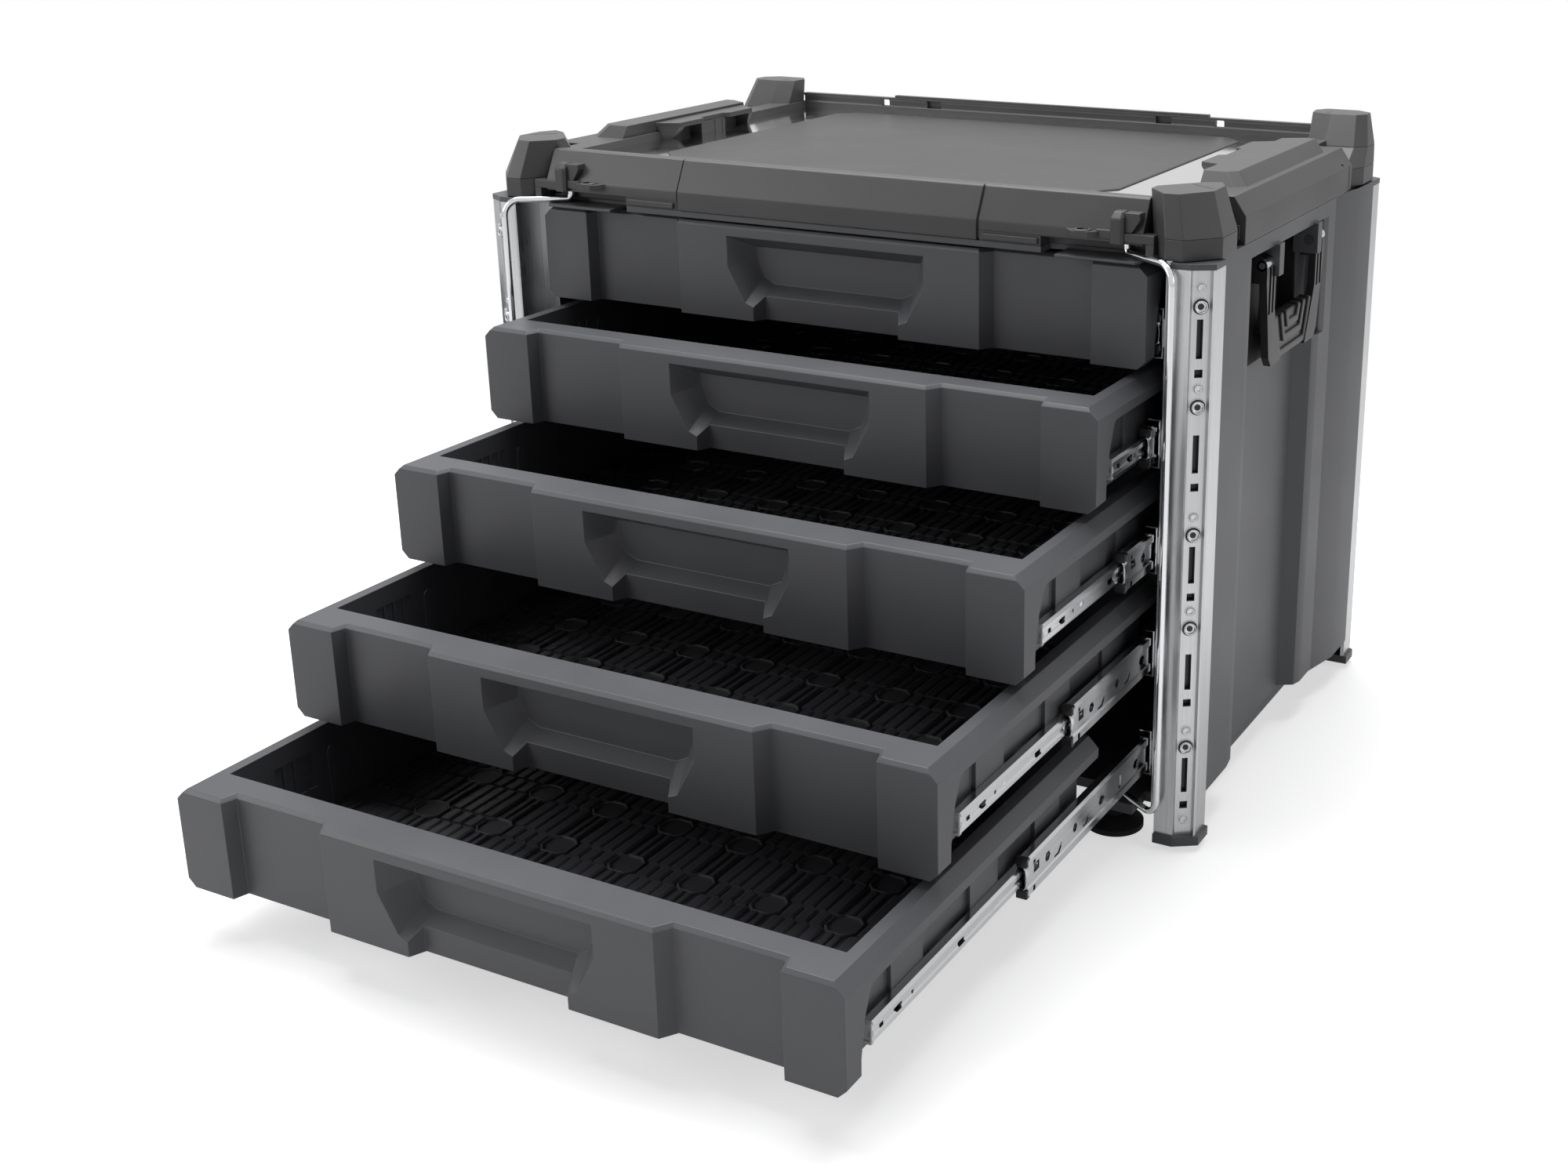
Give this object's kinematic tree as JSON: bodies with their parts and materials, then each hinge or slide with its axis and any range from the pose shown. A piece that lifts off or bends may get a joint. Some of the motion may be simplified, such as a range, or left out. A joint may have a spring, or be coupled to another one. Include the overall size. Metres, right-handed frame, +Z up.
{
  "type": "drawer tool case",
  "caption": "Stacking plastic tool case with telescopic drawers, metal corner posts, wire lock bails and swinging side handles.",
  "frame": {"origin": "on the floor plane under the rubber feet, below the middle of the case's width and depth (the case without its open drawers)", "axes": "+Z up, +X to the right seen from the front, drawer fronts face -Y and drawers open towards -Y"},
  "size_m": [0.601, 0.7865, 0.4756],
  "materials": {
    "grey_shell": "fine grained grey plastic",
    "grey_trim": "grey plastic",
    "zinc_bolt": "bright zinc",
    "zinc_screw": "bright zinc",
    "anodised_post": "satin anodised",
    "foot_rubber": "matt black rubber",
    "black_frame": "fine grained black plastic",
    "black_bar": "fine grained black plastic",
    "black_panel": "fine grained black plastic",
    "black_tower": "fine grained black plastic",
    "pin_steel": "turned steel",
    "outer_rail": "zinc plated",
    "middle_rail": "zinc plated",
    "inner_rail": "zinc plated",
    "cage_plastic": "black nylon",
    "mat_rubber": "satin black grip mat",
    "grey_drawer": "fine grained grey plastic",
    "bail_chrome": "polished wire",
    "handle_black": "black plastic"
  },
  "bodies": {
    "case": {"case_right_wall": "grey_shell", "case_left_wall": "grey_shell", "case_back": "grey_shell", "base_tray": "grey_shell", "case_roof": "grey_shell", "post_front_right": "anodised_post", "post_front_left": "anodised_post", "post_rear_right": "anodised_post", "post_rear_left": "anodised_post", "post_collars": "grey_trim", "post_caps": "grey_trim", "post_bolts": "zinc_bolt", "post_screws": "zinc_screw", "rubber_feet": "foot_rubber", "top_frame": "black_frame", "front_bar": "black_bar", "lid_panel": "black_panel", "tower_front_right": "black_tower", "tower_front_left": "black_tower", "tower_rear_right": "black_tower", "tower_rear_left": "black_tower", "handle_pins": "pin_steel", "cabinet_rails_1": "outer_rail", "cabinet_rails_2": "outer_rail", "cabinet_rails_3": "outer_rail", "cabinet_rails_4": "outer_rail", "cabinet_rails_5": "outer_rail"},
    "drawer_1": {"drawer_1": "grey_drawer", "drawer_mat_1": "mat_rubber", "drawer_rails_1": "inner_rail"},
    "slides_1": {"middle_rails_1": "middle_rail", "ball_cages_1": "cage_plastic"},
    "drawer_2": {"drawer_2": "grey_drawer", "drawer_mat_2": "mat_rubber", "drawer_rails_2": "inner_rail"},
    "slides_2": {"middle_rails_2": "middle_rail", "ball_cages_2": "cage_plastic"},
    "drawer_3": {"drawer_3": "grey_drawer", "drawer_mat_3": "mat_rubber", "drawer_rails_3": "inner_rail"},
    "slides_3": {"middle_rails_3": "middle_rail", "ball_cages_3": "cage_plastic"},
    "drawer_4": {"drawer_4": "grey_drawer", "drawer_mat_4": "mat_rubber", "drawer_rails_4": "inner_rail"},
    "slides_4": {"middle_rails_4": "middle_rail", "ball_cages_4": "cage_plastic"},
    "drawer_5": {"drawer_5": "grey_drawer", "drawer_mat_5": "mat_rubber", "drawer_rails_5": "inner_rail"},
    "slides_5": {"middle_rails_5": "middle_rail", "ball_cages_5": "cage_plastic"},
    "bail_right": {"lock_bail_right": "bail_chrome"},
    "bail_left": {"lock_bail_left": "bail_chrome"},
    "handle_right": {"carry_handle_right": "handle_black"},
    "handle_left": {"carry_handle_left": "handle_black"}
  },
  "joints": [
    {"name": "drawer_1_slide", "type": "slide", "parent": "case", "child": "drawer_1", "axis": [0, -1, 0], "range_m": [0, 0.405]},
    {"name": "slides_1_run", "type": "slide", "parent": "case", "child": "slides_1", "axis": [0, -1, 0], "range_m": [0, 0.2025]},
    {"name": "drawer_2_slide", "type": "slide", "parent": "case", "child": "drawer_2", "axis": [0, -1, 0], "range_m": [-0.078, 0.327]},
    {"name": "slides_2_run", "type": "slide", "parent": "case", "child": "slides_2", "axis": [0, -1, 0], "range_m": [-0.0312, 0.1308]},
    {"name": "drawer_3_slide", "type": "slide", "parent": "case", "child": "drawer_3", "axis": [0, -1, 0], "range_m": [-0.184, 0.221]},
    {"name": "slides_3_run", "type": "slide", "parent": "case", "child": "slides_3", "axis": [0, -1, 0], "range_m": [-0.0736, 0.0884]},
    {"name": "drawer_4_slide", "type": "slide", "parent": "case", "child": "drawer_4", "axis": [0, -1, 0], "range_m": [-0.296, 0.109]},
    {"name": "slides_4_run", "type": "slide", "parent": "case", "child": "slides_4", "axis": [0, -1, 0], "range_m": [-0.148, 0.0545]},
    {"name": "drawer_5_slide", "type": "slide", "parent": "case", "child": "drawer_5", "axis": [0, -1, 0], "range_m": [-0.402, 0.003]},
    {"name": "slides_5_run", "type": "slide", "parent": "case", "child": "slides_5", "axis": [0, -1, 0], "range_m": [-0.201, 0.0015]},
    {"name": "bail_right_swing", "type": "hinge", "parent": "case", "child": "bail_right", "pos_m": [0.231, -0.176, 0.2], "axis": [0, 0, -1], "range_deg": [0, 26]},
    {"name": "bail_left_swing", "type": "hinge", "parent": "case", "child": "bail_left", "pos_m": [-0.231, -0.176, 0.2], "axis": [0, 0, 1], "range_deg": [0, 26]},
    {"name": "handle_right_swing", "type": "hinge", "parent": "case", "child": "handle_right", "pos_m": [0.2905, -0.008, 0.4], "axis": [0, -1, 0], "range_deg": [0, 95]},
    {"name": "handle_left_swing", "type": "hinge", "parent": "case", "child": "handle_left", "pos_m": [-0.2905, -0.008, 0.4], "axis": [0, 1, 0], "range_deg": [0, 95]}
  ],
  "couplings": [
    {"joint": "slides_1_run", "follows": "drawer_1_slide", "ratio": 0.5},
    {"joint": "slides_2_run", "follows": "drawer_2_slide", "ratio": 0.4},
    {"joint": "slides_3_run", "follows": "drawer_3_slide", "ratio": 0.4},
    {"joint": "slides_4_run", "follows": "drawer_4_slide", "ratio": 0.5},
    {"joint": "slides_5_run", "follows": "drawer_5_slide", "ratio": 0.5}
  ]
}
